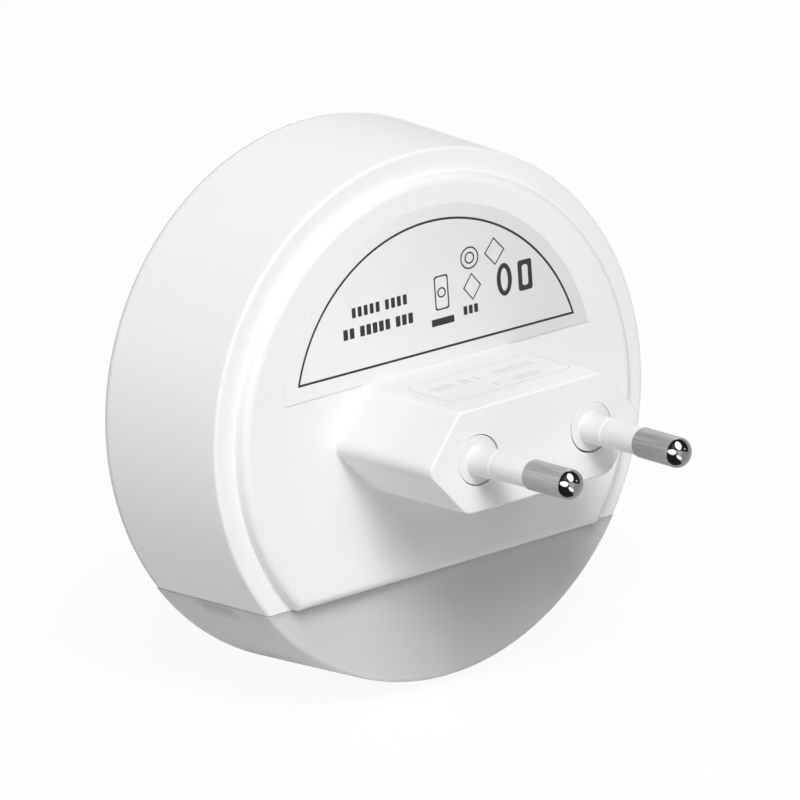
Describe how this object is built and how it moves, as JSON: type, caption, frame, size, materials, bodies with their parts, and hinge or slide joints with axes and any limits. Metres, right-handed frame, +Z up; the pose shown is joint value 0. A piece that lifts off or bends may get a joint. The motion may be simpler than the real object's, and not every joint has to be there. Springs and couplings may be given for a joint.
{
  "type": "plug in night light",
  "caption": "Round plug-in night light: stepped back with a flat round-pin wall plug, frosted lower diffuser, domed motion sensor in the front and a slide switch on the side.",
  "frame": {"origin": "middle of the plug's face, halfway between the two pins", "axes": "+Y into the wall along the pins, -Y towards the room, +Z up, the frosted diffuser below"},
  "size_m": [0.0733, 0.0733, 0.0729],
  "materials": {
    "white_plastic": "satin moulded ABS",
    "frosted_plastic": "frosted translucent, opal",
    "label_paper": "printed film label, satin",
    "sleeve_plastic": "moulded nylon",
    "nickel": "matt nickel plating, polished ends",
    "lens_plastic": "milky polyethylene",
    "inner_plastic": "moulded, plain",
    "reflector_plastic": "bright white",
    "zinc_screw": "zinc plated",
    "can_steel": "nickel plated can",
    "filter_glass": "dark infrared filter",
    "gold_leg": "gold plated",
    "black_plastic": "moulded epoxy, fine matt",
    "clear_plastic": "clear acrylic",
    "green_board": "solder mask over copper tracks",
    "yellow_case": "moulded capacitor box",
    "capacitor_sleeve": "shrink sleeve",
    "copper_winding": "enamelled copper winding",
    "blue_coating": "epoxy dip",
    "resistor_coating": "lacquered resistor body",
    "chip_ceramic": "ceramic chip parts",
    "white_board": "white solder mask",
    "diode": "white case with yellow phosphor",
    "tinned_leg": "tinned",
    "wire_brown": "extruded insulation",
    "wire_blue": "extruded insulation",
    "wire_red": "extruded insulation",
    "wire_black": "extruded insulation"
  },
  "bodies": {
    "lamp": {"rear_housing": "white_plastic", "front_cover": "white_plastic", "diffuser": "frosted_plastic", "rating_label": "label_paper", "sleeve_left": "sleeve_plastic", "sleeve_right": "sleeve_plastic", "pin_retainer": "sleeve_plastic", "pin_left": "nickel", "pin_right": "nickel", "pir_lens": "lens_plastic", "lens_retainer": "inner_plastic", "led_tray": "reflector_plastic", "retainer_screw": "zinc_screw", "lens_screws": "zinc_screw", "board_screws": "zinc_screw", "tray_screws": "zinc_screw", "led_screws": "zinc_screw", "pir_sensor": "can_steel", "pir_window": "filter_glass", "pir_legs": "gold_leg", "sensor_spacer": "black_plastic", "bridge_rectifier": "black_plastic", "driver_chip": "black_plastic", "controller_chip": "black_plastic", "switch_body": "black_plastic", "light_sensor": "clear_plastic", "light_pipe": "clear_plastic", "driver_board": "green_board", "film_capacitor": "yellow_case", "electrolytic_capacitor": "capacitor_sleeve", "inductor": "copper_winding", "varistor": "blue_coating", "fuse_resistor": "resistor_coating", "small_parts": "chip_ceramic", "led_board": "white_board", "leds": "diode", "switch_terminals": "tinned_leg", "live_wire": "wire_brown", "neutral_wire": "wire_blue", "led_wire_red": "wire_red", "led_wire_black": "wire_black"},
    "slider": {"switch_slider": "white_plastic"}
  },
  "joints": [
    {"name": "mode_switch", "type": "slide", "parent": "lamp", "child": "slider", "axis": [0, 0, 1], "range_m": [-0.002, 0.002]}
  ]
}
